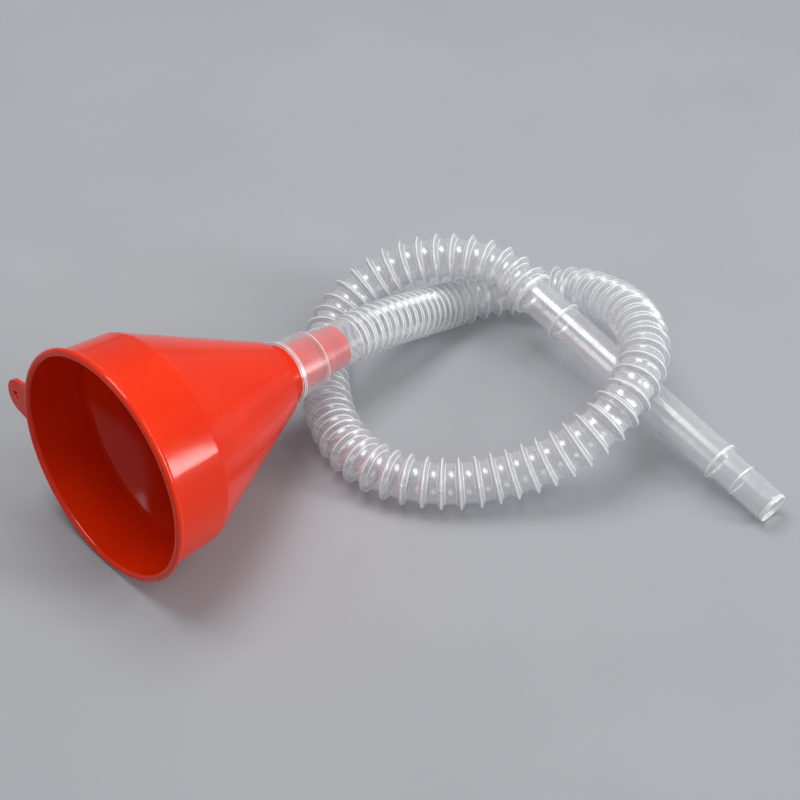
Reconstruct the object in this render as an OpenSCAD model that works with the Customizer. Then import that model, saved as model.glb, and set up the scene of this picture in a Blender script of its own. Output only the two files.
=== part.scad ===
/* [Funnel body] */
// Outer radius of the rolled rim round the mouth
rim_r = 70; // [68:1:72]
// Radius of the rolled bead that edges the mouth
bead_r = 2.4; // [2:0.1:2.8]
// Outer radius of the band at the shoulder, where the cone starts
shoulder_r = 65; // [63:0.5:66]
// Distance from the mouth to the shoulder
band_l = 37.8; // [34:0.2:42]
// Wall of the band and the cone
body_wall = 1.9; // [1.5:0.1:2.2]
// Outer radius of the cone at its small end
cone_end_r = 23.8; // [23.4:0.1:24.2]
// Distance from the mouth to the small end of the cone
cone_end_l = 124.5; // [124:0.1:125]

/* [Hang tab] */
// How far the tab's round end reaches from the funnel's axis
tab_reach = 86.5; // [84:0.5:90]
// Radius of the tab's round end
tab_end_r = 11; // [9:0.5:12]
// Thickness of the tab
tab_t = 2.2; // [1.6:0.2:3]
// Radius of the hole in the tab
tab_hole_r = 2.5; // [1.5:0.5:3]

/* [Spout] */
// Outer radius of the short collar between the cone and the hose's lip, at the cone
collar_r = 18.5; // [18.4:0.1:19]
// Outer radius of the collar's flat end, which the hose's lip stops against
collar_end_r = 18.3; // [18.2:0.1:18.4]
// Distance from the mouth to the collar's flat end
collar_l = 133.2; // [132.4:0.1:134]
// Outer radius of the spout at the collar
spout_base_r = 15.6; // [15.4:0.05:15.8]
// Outer radius of the spout at its tip
spout_tip_r = 13.6; // [13.3:0.05:13.8]
// Distance from the mouth to the tip of the spout
spout_l = 176.5; // [174.5:0.5:178.5]
// Wall of the spout
spout_wall = 1.5; // [1.2:0.1:1.8]
// Number of shallow grip grooves near the tip of the spout
groove_count = 5; // [3:1:6]
// Depth of each grip groove
groove_depth = 0.3; // [0.2:0.1:0.5]

/* [Hose] */
// Outer radius of the hose's rings
ring_r = 15.5; // [15:0.1:15.6]
// Outer radius of the cuff's lip
lip_r = 20; // [19.7:0.1:20.4]
// Wall of the blow-moulded cuff
hose_wall = 0.8; // [0.6:0.1:1]
// Radial clearance between the spout and the sleeve of the cuff
spout_gap = 0.05; // [0.03:0.01:0.1]
// Distance from the mouth to the end of the cuff, where the rings begin
cuff_end_l = 186.8; // [186:0.2:188]

/* [Nozzle] */
// Outer radius of the nozzle's long tube
tube_r = 11.3; // [10.8:0.1:11.6]
// Outer radius of the slim end that goes into the filler
tip_r = 10; // [9.6:0.1:10.2]
// Outer radius of the nozzle's first ring, next to the bellows
first_ring_r = 15; // [14.5:0.1:15.5]
// Distance from the first ring to the stop bead
stop_bead_l = 161.5; // [155:0.5:168]

/* [Hidden] */
$fn = 96;

// The funnel lies on its side, so its axis slopes down from the mouth to the spout.
tilt = 7.8;
axis_dir = [cos(tilt), 0, -sin(tilt)];
// The lowest point of the rim touches the surface at z = 0.
mouth = [-84, -8, (rim_r - bead_r) * cos(tilt) + bead_r * (1 + sin(tilt))];

// The nozzle's axis runs from its first ring down to its tip, which rests on the surface.
nozzle_start = [213, -57, 45];
nozzle_tip = [204, -258, 9.8];
nozzle_l = norm(nozzle_tip - nozzle_start);
nozzle_dir = (nozzle_tip - nozzle_start) / nozzle_l;

// The route's points guide a cubic B-spline. The first two lie on the funnel's axis and
// the last two on the nozzle's axis, so the hose leaves the cuff and meets the nozzle straight.
guide = 24;
cuff_exit = mouth + cuff_end_l * axis_dir;
loose_points = [
    [151, -8, 31], [174, -6, 21], [197, -9, 15.5],
    // along the surface under the last arc, then up over the nozzle
    [220, -18, 15.5], [238, -33, 16], [251, -51, 20.5], [254, -72, 29], [248, -96, 39.5],
    [238, -119, 50], [223, -139, 56.5], [206, -154, 58.5], [186, -163, 56.5],
    // down to the surface and round the near side of the loop
    [165, -166, 49.5], [144, -162, 38.5], [123, -151, 26.5], [102, -136, 18.5],
    [82, -120, 15.5], [67, -102, 15.5], [57, -81, 15.5], [56, -59, 15.5], [62, -37, 15.5],
    // under the cuff
    [75, -15, 15.5], [91, 5, 15.5], [108, 23, 16], [128, 33, 18.5],
    // the last arc, over the first run of the hose
    [148, 35, 26], [168, 28, 36.5], [187, 13, 46.5], [204, -10, 51.5],
];
route = concat(
    [cuff_exit, cuff_exit + guide * axis_dir],
    loose_points,
    [nozzle_start - guide * nozzle_dir, nozzle_start]
);
last = len(route) - 1;
// Spline spans that the gathered rings take, before the open rings start
gathered_spans = 4;
// Small gap between the two runs of rings, in spans
run_gap = 0.01;
rings_per_span = 2;
hose_sides = 12;
// Height and width of the ridge that the mould leaves along the hose
mould_line_h = 0.18;
mould_line_w = 0.5;

function route_point(i) =
    i < 0 ? 2 * route[0] - route[1] :
    i > last ? 2 * route[last] - route[last - 1] :
    route[i];

// Point of the spline at parameter t, which counts the spans from the cuff
function spline(t) =
    let (i = min(floor(t), last - 1), u = t - i)
    ((1 - u) ^ 3 * route_point(i - 1)
        + (3 * u ^ 3 - 6 * u ^ 2 + 4) * route_point(i)
        + (-3 * u ^ 3 + 3 * u ^ 2 + 3 * u + 1) * route_point(i + 1)
        + u ^ 3 * route_point(i + 2)) / 6;

// Direction of the spline at parameter t
function spline_dir(t) =
    let (i = min(floor(t), last - 1), u = t - i)
    unit(-3 * (1 - u) ^ 2 * route_point(i - 1)
        + (9 * u ^ 2 - 12 * u) * route_point(i)
        + (-9 * u ^ 2 + 6 * u + 3) * route_point(i + 1)
        + 3 * u ^ 2 * route_point(i + 2));

function unit(v) = v / norm(v);

// One ring of a tube: points round the spline, at right angles to it
function tube_ring(t, r) =
    let (c = spline(t), d = spline_dir(t), side = unit(cross(d, [0, 0, 1])), up = cross(side, d))
    [for (k = [0:hose_sides - 1])
        c + r * (cos(360 * k / hose_sides) * side + sin(360 * k / hose_sides) * up)];

// A solid tube along the spline from t0 to t1
module swept_tube(t0, t1, r) {
    steps = round((t1 - t0) * rings_per_span);
    rings = [for (j = [0:steps]) each tube_ring(t0 + (t1 - t0) * j / steps, r)];
    n = hose_sides;
    walls = [for (j = [0:steps - 1], k = [0:n - 1])
        let (a = j * n + k, b = j * n + (k + 1) % n)
        each [[a, b + n, a + n], [a, b, b + n]]];
    first_cap = [for (k = [n - 1:-1:0]) k];
    last_cap = [for (k = [0:n - 1]) steps * n + k];
    polyhedron(points = rings, faces = concat(walls, [first_cap, last_cap]), convexity = 10);
}

// Places a shape that is drawn round +Z so that it lies along the funnel's axis
module along_funnel() {
    translate(mouth) rotate([0, 90 + tilt, 0]) children();
}

// Places a shape that is drawn round +Z so that it lies along the nozzle's axis
module along_nozzle() {
    pitch = acos(nozzle_dir.z);
    heading = atan2(nozzle_dir.y, nozzle_dir.x);
    translate(nozzle_start) rotate([0, pitch, heading]) children();
}

// Outer radius of the spout at distance s from the mouth
function spout_r(s) =
    spout_base_r + (spout_tip_r - spout_base_r) * (s - collar_l) / (spout_l - collar_l);

// Cross-section of the funnel's wall, radius against distance from the mouth
module funnel_profile() {
    inner_rim = rim_r - 2 * bead_r;
    band_outer = rim_r - bead_r - 0.4;
    blend = 1.2;
    polygon([
        [inner_rim, bead_r],
        [band_outer, bead_r],
        [shoulder_r + 0.12, band_l - blend],
        [shoulder_r - 0.12, band_l],
        [shoulder_r - 0.66, band_l + blend],
        [cone_end_r, cone_end_l],
        [cone_end_r - 0.8, cone_end_l + 0.6],
        [collar_r + 0.4, cone_end_l + 0.9],
        [collar_r, cone_end_l + 1.3],
        [collar_end_r, collar_l],
        [spout_base_r, collar_l],
        [spout_tip_r, spout_l],
        [spout_tip_r - spout_wall, spout_l],
        [spout_base_r - spout_wall, collar_l - 0.5],
        [collar_end_r - body_wall, collar_l - 1.9],
        [collar_r - body_wall, cone_end_l - 0.4],
        [cone_end_r - body_wall - 0.2, cone_end_l - 1],
        [shoulder_r - body_wall - 0.9, band_l + blend],
        [shoulder_r - body_wall - 0.1, band_l - blend],
    ]);
    translate([rim_r - bead_r, bead_r]) circle(r = bead_r, $fn = 48);
}

// Flat tongue at the side of the rim, to hang the funnel up by
module hang_tab() {
    end_y = tab_reach - tab_end_r;
    root_y = rim_r - 2.5;
    root_half = tab_end_r + 2;
    difference() {
        translate([0, 0, bead_r - tab_t / 2])
            linear_extrude(tab_t)
                polygon(concat(
                    [[-root_half, root_y - 2], [root_half, root_y - 2]],
                    [for (a = [0:10:180]) [tab_end_r * cos(a), end_y + tab_end_r * sin(a)]]
                ));
        translate([0, tab_reach - 8, bead_r - tab_t])
            cylinder(r = tab_hole_r, h = 2 * tab_t, $fn = 48);
    }
}

// One shallow ring-shaped groove round the spout, centred at distance s from the mouth
module grip_groove(s) {
    width = 0.7;
    translate([0, 0, s - width / 2])
        rotate_extrude()
            polygon([
                [spout_r(s) - groove_depth, 0],
                [spout_r(s) + 1, 0],
                [spout_r(s) + 1, width],
                [spout_r(s) - groove_depth, width],
            ]);
}

module funnel_body() {
    groove_pitch = 1.5;
    first_groove = spout_l - 12;
    color([0.87, 0.10, 0.03])
        along_funnel() {
            difference() {
                rotate_extrude($fn = 128) funnel_profile();
                for (i = [0:groove_count - 1]) grip_groove(first_groove + i * groove_pitch);
            }
            hang_tab();
        }
}

// Thin ridges along the two sides of a blow moulding, where the mould's halves met.
// The outline is the moulding's outer wall, as points of radius and length.
module mould_lines(outline, angle) {
    last_point = len(outline) - 1;
    raised = [for (p = outline) [p.x + mould_line_h, p.y]];
    buried = [for (i = [last_point:-1:0]) [outline[i].x - 0.2, outline[i].y]];
    for (side = [0, 180])
        rotate([90, 0, angle + side])
            linear_extrude(mould_line_w, center = true)
                polygon(concat(raised, buried));
}

// Bell-mouthed cuff: a lip, a wide section, a step, and the sleeve that grips the spout
module hose_cuff() {
    lip_start = collar_l + 0.1;
    lip_l = 3.4;
    wide_start_r = 18.9;
    wide_end_r = 18.6;
    step_l = 155.4;
    sleeve_start = step_l + 0.8;
    grip_end = spout_l + 0.5;
    sleeve_end = cuff_end_l - 0.1;
    function sleeve_in(s) = spout_r(s) + spout_gap;
    outer = [
        [lip_r - 0.3, lip_start],
        [lip_r, lip_start + 0.4],
        [lip_r, lip_start + 1.2],
        [wide_start_r + 0.5, lip_start + 2],
        [wide_start_r + 0.5, lip_start + 2.6],
        [wide_start_r, lip_start + lip_l],
        [wide_end_r, step_l - 1],
        [wide_end_r - 0.5, step_l],
        [sleeve_in(sleeve_start) + hose_wall, sleeve_start],
        [sleeve_in(grip_end) + hose_wall, grip_end],
        [sleeve_in(grip_end) + hose_wall - 0.1, sleeve_end],
    ];
    inner = [
        [sleeve_in(grip_end) - 0.1, sleeve_end],
        [sleeve_in(grip_end), grip_end],
        [sleeve_in(sleeve_start), sleeve_start],
        [wide_end_r - hose_wall, step_l - 1],
        [wide_start_r - hose_wall, lip_start],
    ];
    color([0.86, 0.87, 0.88])
        along_funnel() {
            rotate_extrude() polygon(concat(outer, inner));
            mould_lines(outer, 210);
        }
}

// The rings pushed shut next to the cuff: a plain tube of the rings' outer radius
module hose_gathered_rings() {
    color([0.80, 0.81, 0.83]) swept_tube(0, gathered_spans, ring_r);
}

// The rings pulled open, for the rest of the loop: a plain tube of the rings' outer radius
module hose_open_rings() {
    color([0.90, 0.91, 0.92]) swept_tube(gathered_spans + run_gap, last, ring_r);
}

// Straight smooth end of the hose: first ring, collar bead, stop bead, slim tip, open lip
module hose_nozzle() {
    wall = 1.1;
    ring_w = 3;
    collar_bead_l = 29.4;
    bead_w = 2;
    slim_start = stop_bead_l + bead_w + 2.2;
    small_bead_l = stop_bead_l + 17.5;
    lip_l = 2.4;
    end_gap = 0.02;
    // Cross-section of a bead that stands proud of a tube of radius r, at distance l
    function bead(l, w, r, high) = [
        [r, l - w / 2], [r + high, l - w / 6], [r + high, l + w / 6], [r, l + w / 2],
    ];
    outer = concat(
        [[tube_r, end_gap], [first_ring_r - 0.4, 0.5], [first_ring_r, 1.2], [first_ring_r, 1.8]],
        [[first_ring_r - 0.4, 2.5], [tube_r, ring_w]],
        bead(collar_bead_l, bead_w, tube_r, 1.9),
        [[tube_r, stop_bead_l - bead_w / 2], [tube_r + 1.1, stop_bead_l]],
        [[tube_r + 1.1, stop_bead_l + 0.8], [tube_r - 0.4, stop_bead_l + bead_w]],
        [[tip_r, slim_start]],
        bead(small_bead_l, 1.6, tip_r, 0.5),
        [[tip_r, nozzle_l - lip_l - 1.2], [tip_r - 0.35, nozzle_l - lip_l]],
        [[tip_r, nozzle_l - lip_l + 0.8], [tip_r, nozzle_l - 0.4], [tip_r - 0.4, nozzle_l]]
    );
    inner = [
        [tip_r - wall, nozzle_l],
        [tip_r - wall, slim_start],
        [tube_r - wall, stop_bead_l],
        [tube_r - wall, end_gap],
    ];
    color([0.88, 0.89, 0.91])
        along_nozzle() {
            rotate_extrude() polygon(concat(outer, inner));
            mould_lines(outer, 195);
        }
}

funnel_body();
hose_cuff();
hose_gathered_rings();
hose_open_rings();
hose_nozzle();
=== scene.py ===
import math

import bpy
import numpy as np
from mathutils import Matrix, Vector


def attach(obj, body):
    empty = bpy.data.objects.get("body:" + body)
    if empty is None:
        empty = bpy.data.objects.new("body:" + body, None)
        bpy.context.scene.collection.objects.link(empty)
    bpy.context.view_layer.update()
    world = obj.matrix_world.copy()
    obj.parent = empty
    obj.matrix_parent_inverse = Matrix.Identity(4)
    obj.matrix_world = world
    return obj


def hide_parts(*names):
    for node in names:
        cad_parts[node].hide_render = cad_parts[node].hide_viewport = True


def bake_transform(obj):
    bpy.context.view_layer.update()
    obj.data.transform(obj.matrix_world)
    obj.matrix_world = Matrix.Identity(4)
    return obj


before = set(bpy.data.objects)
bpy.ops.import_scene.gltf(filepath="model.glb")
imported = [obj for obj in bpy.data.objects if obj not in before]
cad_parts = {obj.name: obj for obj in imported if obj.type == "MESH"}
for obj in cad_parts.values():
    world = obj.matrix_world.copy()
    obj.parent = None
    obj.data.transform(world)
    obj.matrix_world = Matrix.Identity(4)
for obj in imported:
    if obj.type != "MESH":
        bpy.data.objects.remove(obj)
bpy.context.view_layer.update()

# Everything is in metres, in the frame of the CAD model: +Z is up, +X runs from the mouth to the
# spout, and the funnel and the hose lie on the plane z = 0.

# ---- The funnel's axis and the nozzle's, as the CAD model has them -------------------------------

RIM_R = 0.070
BEAD_R = 0.0024
TILT = math.radians(7.8)
CUFF_END = 0.1868
RING_R = 0.0155
AXIS = np.array([math.cos(TILT), 0.0, -math.sin(TILT)])
MOUTH_Z = (RIM_R - BEAD_R) * math.cos(TILT) + BEAD_R * (1 + math.sin(TILT))
MOUTH = np.array([-0.084, -0.008, MOUTH_Z])
NOZZLE_START = np.array([0.213, -0.057, 0.045])
NOZZLE_TIP = np.array([0.204, -0.258, 0.0098])
NOZZLE_L = np.linalg.norm(NOZZLE_TIP - NOZZLE_START)
NOZZLE_AXIS = (NOZZLE_TIP - NOZZLE_START) / NOZZLE_L


# ---- Camera --------------------------------------------------------------------------------------

CAMERA_PLACE = (-0.3683, -0.5333, 0.7047)
CAMERA_TARGET = (0.1182, -0.0360, 0.0)


def aim(holder, place, target):
    """Puts a camera or a light at a place, looking at a target."""
    holder.location = place
    look = Vector(target) - Vector(place)
    holder.rotation_euler = look.to_track_quat("-Z", "Y").to_euler()


def make_camera():
    camera = bpy.data.cameras.new("camera")
    camera.sensor_width = 36
    camera.lens = 70.9
    camera.clip_start = 0.01
    holder = bpy.data.objects.new("camera", camera)
    aim(holder, CAMERA_PLACE, CAMERA_TARGET)
    bpy.context.collection.objects.link(holder)
    bpy.context.scene.camera = holder


def set_view():
    """Plain colours, and enough see-through layers for hose seen through hose."""
    scene = bpy.context.scene
    scene.view_settings.view_transform = "Standard"
    scene.cycles.transparent_max_bounces = 48


# ---- The hose's route ----------------------------------------------------------------------------

GUIDE = 0.024
CUFF_EXIT = MOUTH + CUFF_END * AXIS
LOOSE_POINTS = np.array([
    [0.151, -0.008, 0.031], [0.174, -0.006, 0.021], [0.197, -0.009, 0.0155],
    # along the surface under the last arc, then up over the nozzle
    [0.220, -0.018, 0.0155], [0.238, -0.033, 0.016], [0.251, -0.051, 0.0205],
    [0.254, -0.072, 0.029], [0.248, -0.096, 0.0395], [0.238, -0.119, 0.050],
    [0.223, -0.139, 0.0565], [0.206, -0.154, 0.0585], [0.186, -0.163, 0.0565],
    # down to the surface and round the near side of the loop
    [0.165, -0.166, 0.0495], [0.144, -0.162, 0.0385], [0.123, -0.151, 0.0265],
    [0.102, -0.136, 0.0185], [0.082, -0.120, 0.0155], [0.067, -0.102, 0.0155],
    [0.057, -0.081, 0.0155], [0.056, -0.059, 0.0155], [0.062, -0.037, 0.0155],
    # under the cuff
    [0.075, -0.015, 0.0155], [0.091, 0.005, 0.0155], [0.108, 0.023, 0.016],
    [0.128, 0.033, 0.0185],
    # the last arc, over the first run of the hose
    [0.148, 0.035, 0.026], [0.168, 0.028, 0.0365], [0.187, 0.013, 0.0465],
    [0.204, -0.010, 0.0515],
])
ROUTE = np.vstack([
    CUFF_EXIT,
    CUFF_EXIT + GUIDE * AXIS,
    LOOSE_POINTS,
    NOZZLE_START - GUIDE * NOZZLE_AXIS,
    NOZZLE_START,
])
# Spline spans of the gathered rings, the small gap before the open rings, and how many points
# are taken along the route of the open rings
GATHERED_SPANS = 4
RUN_GAP = 0.0001
STEPS_PER_SPAN = 60
CORD_POINTS = 240


def spline(points, steps):
    """Points on the cubic B-spline that starts at the first point and ends at the last."""
    ends = np.vstack([2 * points[0] - points[1], points, 2 * points[-1] - points[-2]])
    u = np.arange(steps)[:, None] / steps
    spans = []
    for a, b, c, d in zip(ends, ends[1:], ends[2:], ends[3:]):
        start = (1 - u) ** 3 * a + (3 * u ** 3 - 6 * u ** 2 + 4) * b
        finish = (-3 * u ** 3 + 3 * u ** 2 + 3 * u + 1) * c + u ** 3 * d
        spans.append((start + finish) / 6)
    return np.vstack(spans + [points[-1:]])


class Route:
    """A line in space with a frame that doesn't twist, to sweep a tube along."""

    def __init__(self, points):
        self.points = points
        steps = np.linalg.norm(np.diff(points, axis=0), axis=1)
        self.along = np.concatenate([[0], np.cumsum(steps)])
        self.length = self.along[-1]
        tangents = np.gradient(points, self.along, axis=0)
        self.tangents = tangents / np.linalg.norm(tangents, axis=1)[:, None]
        self.sides = self.carried_sides()

    def carried_sides(self):
        """A direction at right angles to the line, carried along it without twisting."""
        side = np.cross(self.tangents[0], [0, 0, 1])
        sides = []
        for tangent in self.tangents:
            side = side - tangent * (side @ tangent)
            side = side / np.linalg.norm(side)
            sides.append(side)
        return np.array(sides)

    def at(self, distances):
        """Centres, tangents and two cross directions at these distances along the line."""
        def pick(rows):
            return np.stack([np.interp(distances, self.along, rows[:, k]) for k in range(3)], 1)
        centres = pick(self.points)
        tangents = pick(self.tangents)
        sides = pick(self.sides)
        tangents /= np.linalg.norm(tangents, axis=1)[:, None]
        sides -= tangents * (sides * tangents).sum(1)[:, None]
        sides /= np.linalg.norm(sides, axis=1)[:, None]
        return centres, tangents, sides, np.cross(sides, tangents)


# ---- The hose's bellows --------------------------------------------------------------------------

# The wall of the bellows, and the outer radius of the tube between its open rings
WALL = 0.0007
TUBE_R = 0.0121
GATHERED_RINGS = 17
OPEN_RINGS = 65
# The sleeve that runs from the cuff into the first ring
SLEEVE_R = 0.0143
SLEEVE_WALL = 0.0008
# The folds between gathered rings lie this far below the crests, and up to so much deeper at the
# far end, past the last shut ring, counted from 0
FOLD = 0.0019
EXTRA_FOLD = 0.0014
LAST_SHUT_RING = 11
GATHERED_TIP = 0.0007
# Half the width of an open ring at its foot and the rounding of its crest, outside and inside
OPEN_HALF_BASE, OPEN_TIP = 0.0025, 0.0008
INNER_HALF_BASE, INNER_TIP = 0.0020, 0.0005
MOULD_LINE_H = 0.00018
MOULD_LINE_ANGLE = math.radians(150)
# Half angles of a mould line at its top and at its foot, and the step between plain points
MOULD_LINE_TOP = math.radians(1.0)
MOULD_LINE_FOOT = math.radians(1.8)
STEP_DEGREES = 8


def ring_angles():
    """Angles round the tube: even steps, with a narrow raised strip at each of two mould lines.
    Returns the angles and how much of the strip's height each one has."""
    top, foot = MOULD_LINE_TOP, MOULD_LINE_FOOT
    angles = []
    raised = []
    for half in (0, math.pi):
        strip = [(-foot, 0), (-top, 1), (top, 1), (foot, 0)]
        even = [(math.radians(a), 0) for a in range(STEP_DEGREES, 180, STEP_DEGREES)]
        for angle, high in strip + even:
            angles.append(half + MOULD_LINE_ANGLE + angle)
            raised.append(high)
    return np.array(angles), np.array(raised, float)


def tube(name, route, outer, inner):
    """A closed thin-walled tube. outer and inner are lists of (distance, radius, frosted), where
    frosted is 1 on the points that start a strip of the second material."""
    outline = np.array(outer + inner[::-1])
    angles, raised = ring_angles()
    centres, _, sides, ups = route.at(outline[:, 0])
    lift = np.zeros(len(outline))
    lift[:len(outer)] = MOULD_LINE_H
    radii = outline[:, 1, None] + lift[:, None] * raised
    across = np.cos(angles)[:, None] * sides[:, None, :]
    across = across + np.sin(angles)[:, None] * ups[:, None, :]
    points = centres[:, None, :] + radii[:, :, None] * across
    rows, columns = radii.shape
    row, column = np.meshgrid(np.arange(rows), np.arange(columns), indexing="ij")
    next_row, next_column = (row + 1) % rows, (column + 1) % columns
    faces = np.stack([
        row * columns + column,
        next_row * columns + column,
        next_row * columns + next_column,
        row * columns + next_column,
    ], axis=-1).reshape(-1, 4)
    mesh = bpy.data.meshes.new(name)
    mesh.from_pydata(points.reshape(-1, 3).tolist(), [], faces.tolist())
    frosted = np.zeros(len(outline), int)
    frosted[:len(outer)] = [strip for _, _, strip in outer]
    mesh.polygons.foreach_set("material_index", np.repeat(frosted, columns))
    mesh.validate()
    mesh.shade_smooth()
    piece = bpy.data.objects.new(name, mesh)
    bpy.context.collection.objects.link(piece)
    return piece


def uneven(count, spread, seed):
    """Small made-up differences from ring to ring, the same on every run."""
    return np.random.default_rng(seed).uniform(-spread, spread, count)


def ring_profile(half_base, foot_r, crest_r, tip):
    """One ring from foot to foot, as (distance from the crest, radius, frosted). The slanted
    flanks meet in a crest rounded to the radius tip, and each foot turns softly into the tube.
    The crest and the feet, where the plastic is bent most, are frosted."""
    rise = crest_r - foot_r
    shape = [
        (-half_base, 0.0, 1), (-0.93 * half_base, 0.04, 1), (-0.80 * half_base, 0.16, 0),
        (-0.4 * half_base - 0.4 * tip, 0.58, 0), (-tip, 0.80, 0), (-0.6 * tip, 0.94, 1),
        (0.0, 1.0, 1), (0.6 * tip, 0.94, 0), (tip, 0.80, 0),
        (0.4 * half_base + 0.4 * tip, 0.58, 0), (0.80 * half_base, 0.16, 1),
        (0.93 * half_base, 0.04, 1), (half_base, 0.0, 0),
    ]
    return [(place, foot_r + part * rise, frosted) for place, part, frosted in shape]


def gathered_outline(length):
    """Outer and inner wall of the gathered rings: blunt crests with folds between them, which
    deepen near the far end, where the rings start to open."""
    pitch = length / GATHERED_RINGS
    outer = [(0.0, SLEEVE_R, 0)]
    inner = [(0.0, SLEEVE_R - SLEEVE_WALL, 0)]
    for ring in range(GATHERED_RINGS):
        opening = max(0, ring - LAST_SHUT_RING) / (GATHERED_RINGS - 1 - LAST_SHUT_RING)
        foot_r = RING_R - FOLD - EXTRA_FOLD * opening
        crest = (ring + 0.5) * pitch
        profile = ring_profile(0.44 * pitch, foot_r, RING_R, GATHERED_TIP)
        for distance, radius, frosted in profile:
            outer.append((crest + distance, radius, frosted))
            inner.append((crest + distance, radius - WALL, 0))
    outer.append((length, TUBE_R, 0))
    inner.append((length, TUBE_R - WALL, 0))
    return outer, inner


def open_outline(start, length):
    """Outer and inner wall of the open rings: narrow hollow rings on a straight tube."""
    pitch = length / OPEN_RINGS
    shifts = uneven(OPEN_RINGS, 0.0003, 3)
    heights = 1 + uneven(OPEN_RINGS, 0.02, 4)
    outer = [(start, TUBE_R, 0)]
    inner = [(start, TUBE_R - WALL, 0)]
    for ring in range(OPEN_RINGS):
        crest = start + (ring + 0.5) * pitch + shifts[ring]
        crest_r = min(TUBE_R + (RING_R - TUBE_R) * heights[ring], RING_R)
        outside = ring_profile(OPEN_HALF_BASE, TUBE_R, crest_r, OPEN_TIP)
        inside = ring_profile(INNER_HALF_BASE, TUBE_R - WALL, crest_r - WALL, INNER_TIP)
        for distance, radius, frosted in outside:
            outer.append((crest + distance, radius, frosted))
        for distance, radius, _ in inside:
            inner.append((crest + distance, radius, 0))
    outer.append((start + length, TUBE_R, 0))
    inner.append((start + length, TUBE_R - WALL, 0))
    return outer, inner


def make_hose():
    """The gathered and the open rings, in place of their plain CAD tubes."""
    route = Route(spline(ROUTE, STEPS_PER_SPAN))
    split = route.along[GATHERED_SPANS * STEPS_PER_SPAN]
    start = split + RUN_GAP
    outer, inner = gathered_outline(split)
    gathered = tube("gathered_rings", route, outer, inner)
    tuple(route.at([split])[0][0])
    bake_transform(gathered)
    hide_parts("hose_gathered_rings")
    outer, inner = open_outline(start, route.length - start)
    opened = tube("open_rings", route, outer, inner)
    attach(opened, "hose")
    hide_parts("hose_open_rings")
    path = route.at(np.linspace(start, route.length, CORD_POINTS))[0]
    return gathered, opened


# ---- Materials -----------------------------------------------------------------------------------

# How much denser the veil is in a band of thick plastic
BAND_VEIL = 0.55
# Where the cuff's lip, step and end lie, and the nozzle's rings and beads, as distances along
# their own axes
CUFF_BANDS = [(0.1335, 0.1341), (0.1356, 0.1362), (0.1546, 0.1556), (0.1862, 0.1868)]
NOZZLE_BANDS = [
    (0.0, 0.0027), (0.0287, 0.0301), (0.1610, 0.1626), (0.1785, 0.1795),
    (NOZZLE_L - 0.0026, NOZZLE_L),
]


def start_material(name):
    material = bpy.data.materials.new(name)
    material.use_nodes = True
    tree = material.node_tree
    return material, tree.nodes, tree.links, tree.nodes["Principled BSDF"]


def noise(nodes, links, place, scale, detail=3.0):
    node = nodes.new("ShaderNodeTexNoise")
    node.inputs["Scale"].default_value = scale
    node.inputs["Detail"].default_value = detail
    links.new(place, node.inputs["Vector"])
    return node.outputs["Fac"]


def spread_over(nodes, links, value, low, high):
    """Maps a noise value, mostly between 0.3 and 0.7, onto low to high."""
    node = nodes.new("ShaderNodeMapRange")
    node.inputs["From Min"].default_value = 0.3
    node.inputs["From Max"].default_value = 0.7
    node.inputs["To Min"].default_value = low
    node.inputs["To Max"].default_value = high
    links.new(value, node.inputs["Value"])
    return node.outputs["Result"]


def blend_colours(nodes, links, value, first, second):
    """From the first colour to the second. The first may also be another node's output."""
    node = nodes.new("ShaderNodeMix")
    node.data_type = "RGBA"
    if isinstance(first, tuple):
        node.inputs["A"].default_value = (*first, 1)
    else:
        links.new(first, node.inputs["A"])
    node.inputs["B"].default_value = (*second, 1)
    links.new(value, node.inputs["Factor"])
    return node.outputs["Result"]


def mottled(nodes, links, place, scale, first, second):
    """A colour that drifts softly between two near ones."""
    cloud = noise(nodes, links, place, scale)
    return blend_colours(nodes, links, spread_over(nodes, links, cloud, 0, 1), first, second)


def bump(nodes, links, height, strength, distance, before=None):
    node = nodes.new("ShaderNodeBump")
    node.inputs["Strength"].default_value = strength
    node.inputs["Distance"].default_value = distance
    links.new(height, node.inputs["Height"])
    if before is not None:
        links.new(before, node.inputs["Normal"])
    return node.outputs["Normal"]


def object_place(nodes):
    return nodes.new("ShaderNodeTexCoord").outputs["Object"]


def red_plastic():
    """Glossy injection-moulded plastic, a little see-through, with a faintly uneven skin."""
    material, nodes, links, shader = start_material("red_plastic")
    place = object_place(nodes)
    colour = mottled(nodes, links, place, 22, (0.70, 0.021, 0.001), (0.77, 0.030, 0.002))
    links.new(colour, shader.inputs["Base Color"])
    smudge = noise(nodes, links, place, 60, detail=5)
    links.new(spread_over(nodes, links, smudge, 0.09, 0.15), shader.inputs["Roughness"])
    shader.inputs["IOR"].default_value = 1.40
    shader.inputs["Subsurface Weight"].default_value = 0.2
    shader.inputs["Subsurface Radius"].default_value = (1.0, 0.12, 0.05)
    shader.inputs["Subsurface Scale"].default_value = 0.002
    ripple = noise(nodes, links, place, 35, detail=2)
    skin = noise(nodes, links, place, 900, detail=2)
    wavy = bump(nodes, links, ripple, 0.06, 0.002)
    links.new(bump(nodes, links, skin, 0.03, 0.0002, wavy), shader.inputs["Normal"])
    return material


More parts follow.
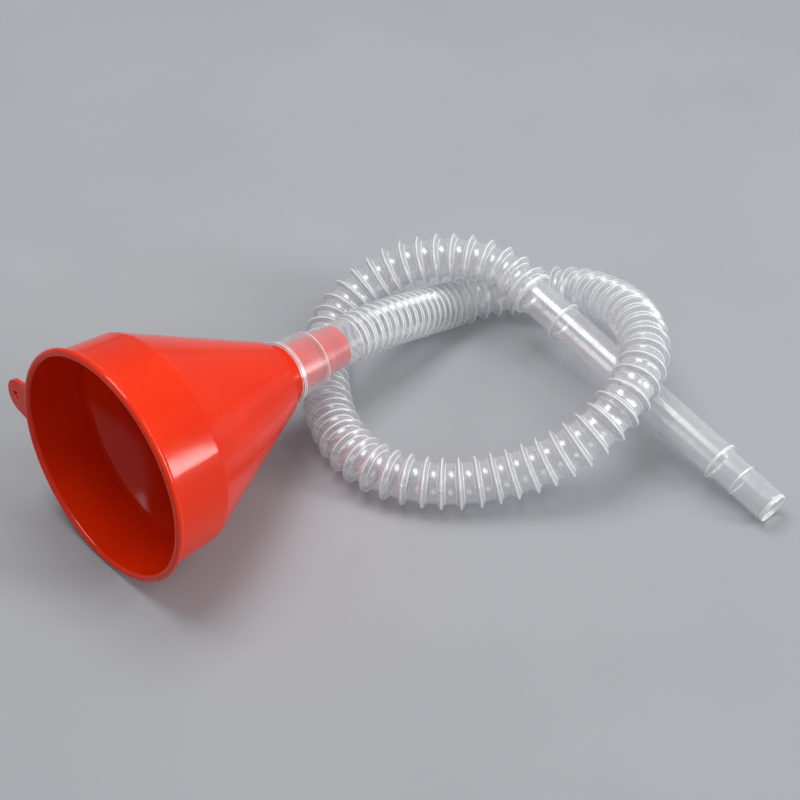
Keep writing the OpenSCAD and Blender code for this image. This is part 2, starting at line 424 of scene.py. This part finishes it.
def bands_along(nodes, links, place, origin, axis, bands):
    """1 where the distance along an axis falls in one of the bands of (start, end), else 0."""
    along = nodes.new("ShaderNodeVectorMath")
    along.operation = "DOT_PRODUCT"
    along.inputs[1].default_value = tuple(axis)
    links.new(place, along.inputs[0])
    start_of_axis = float(np.dot(origin, axis))
    total = None
    for start, end in bands:
        inside = nodes.new("ShaderNodeMath")
        inside.operation = "COMPARE"
        inside.inputs[1].default_value = start_of_axis + (start + end) / 2
        inside.inputs[2].default_value = (end - start) / 2
        links.new(along.outputs["Value"], inside.inputs[0])
        if total is None:
            total = inside.outputs["Value"]
            continue
        either = nodes.new("ShaderNodeMath")
        either.operation = "MAXIMUM"
        links.new(total, either.inputs[0])
        links.new(inside.outputs["Value"], either.inputs[1])
        total = either.outputs["Value"]
    return total


def veil_of_layer(nodes, links, face_on, edge_on):
    """How much one layer hides of what lies behind it, seen squarely and at its edge."""
    facing = nodes.new("ShaderNodeLayerWeight")
    facing.inputs["Blend"].default_value = 0.3
    veil = nodes.new("ShaderNodeMapRange")
    veil.inputs["To Min"].default_value = face_on
    veil.inputs["To Max"].default_value = edge_on
    links.new(facing.outputs["Facing"], veil.inputs["Value"])
    return veil.outputs["Result"]


def milky_plastic(name, face_on, edge_on, origin=None, axis=None, bands=()):
    """Thin blow-moulded plastic: clear with a grey-white veil, faint streaks and a soft gloss.
    face_on and edge_on say how dense the veil is. The bands along the axis are the lips and
    beads, where the plastic is thick and whiter."""
    material, nodes, links, shader = start_material(name)
    place = object_place(nodes)
    colour = mottled(nodes, links, place, 70, (0.70, 0.71, 0.75), (0.80, 0.81, 0.84))
    veil = veil_of_layer(nodes, links, face_on, edge_on)
    if bands:
        white = bands_along(nodes, links, place, origin, axis, bands)
        colour = blend_colours(nodes, links, white, colour, (0.95, 0.955, 0.965))
        thick = nodes.new("ShaderNodeMath")
        thick.operation = "MULTIPLY_ADD"
        thick.inputs[1].default_value = BAND_VEIL
        links.new(white, thick.inputs[0])
        links.new(veil, thick.inputs[2])
        veil = thick.outputs["Value"]
    links.new(colour, shader.inputs["Base Color"])
    links.new(veil, shader.inputs["Alpha"])
    smudge = noise(nodes, links, place, 150, detail=4)
    links.new(spread_over(nodes, links, smudge, 0.18, 0.30), shader.inputs["Roughness"])
    # High, because the gloss of so clear a layer is scaled down with the rest of it
    shader.inputs["IOR"].default_value = 4.0
    return material


def frosted_plastic():
    """The same plastic where it is bent most, at the rings' crests and feet: white and dense."""
    material, nodes, links, shader = start_material("frosted_edges")
    place = object_place(nodes)
    colour = mottled(nodes, links, place, 110, (0.92, 0.925, 0.94), (0.97, 0.972, 0.98))
    links.new(colour, shader.inputs["Base Color"])
    links.new(veil_of_layer(nodes, links, 0.60, 0.92), shader.inputs["Alpha"])
    smudge = noise(nodes, links, place, 110)
    links.new(spread_over(nodes, links, smudge, 0.16, 0.28), shader.inputs["Roughness"])
    shader.inputs["IOR"].default_value = 1.6
    return material


def pale_floor():
    """Plain matte studio paper with the faintest mottling."""
    material, nodes, links, shader = start_material("pale_floor")
    place = object_place(nodes)
    colour = mottled(nodes, links, place, 6, (0.36, 0.37, 0.39), (0.38, 0.39, 0.41))
    links.new(colour, shader.inputs["Base Color"])
    shader.inputs["Roughness"].default_value = 0.75
    shader.inputs["Specular IOR Level"].default_value = 0.15
    return material


def paint(piece, *materials):
    for material in materials:
        piece.data.materials.append(material)


def paint_cad(node, material):
    """Puts a better material in every slot of a carried-over CAD node."""
    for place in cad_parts[node].material_slots:
        place.material = material


# ---- Floor and light -----------------------------------------------------------------------------

FLOOR_HALF = 6.0
FLOOR_Z = -0.0003
MIDDLE = (0.08, -0.05, 0.03)


def make_floor(material):
    """A wide sheet, just below the surface that the object lies on."""
    mesh = bpy.data.meshes.new("floor")
    half = FLOOR_HALF
    corners = [(-half, -half, 0), (half, -half, 0), (half, half, 0), (-half, half, 0)]
    mesh.from_pydata(corners, [], [(0, 1, 2, 3)])
    floor = bpy.data.objects.new("floor", mesh)
    floor.location.z = FLOOR_Z
    bpy.context.collection.objects.link(floor)
    paint(floor, material)


def softbox(name, place, width, height, watts):
    """A rectangular light that looks at the middle of the object."""
    light = bpy.data.lights.new(name, "AREA")
    light.shape = "RECTANGLE"
    light.size = width
    light.size_y = height
    light.energy = watts
    holder = bpy.data.objects.new(name, light)
    aim(holder, place, MIDDLE)
    bpy.context.collection.objects.link(holder)


def make_light():
    """Soft light from all round, and boxes that give the plastic its soft-edged highlights."""
    world = bpy.data.worlds.new("studio")
    world.use_nodes = True
    sky = world.node_tree.nodes["Background"]
    sky.inputs["Color"].default_value = (0.95, 0.97, 1.0, 1)
    sky.inputs["Strength"].default_value = 0.38
    bpy.context.scene.world = world
    softbox("key", (1.45, -2.45, 0.98), width=0.6, height=1.7, watts=46)
    softbox("upper", (1.3, -1.5, 2.3), width=0.7, height=0.7, watts=12)
    softbox("top", (0.1, 0.3, 1.5), width=1.0, height=0.7, watts=14)


# ---- Put together --------------------------------------------------------------------------------

make_camera()
set_view()
gathered_rings, open_rings = make_hose()

red = red_plastic()
milky = milky_plastic("milky_plastic", 0.17, 0.64)
frosted = frosted_plastic()
cuff_plastic = milky_plastic("milky_cuff", 0.08, 0.50, MOUTH, AXIS, CUFF_BANDS)
nozzle_plastic = milky_plastic(
    "milky_nozzle", 0.17, 0.64, NOZZLE_START, NOZZLE_AXIS, NOZZLE_BANDS)
paint(gathered_rings, milky, frosted)
paint(open_rings, milky, frosted)
paint_cad("funnel_body", red)
paint_cad("hose_cuff", cuff_plastic)
paint_cad("hose_nozzle", nozzle_plastic)

make_floor(pale_floor())
make_light()
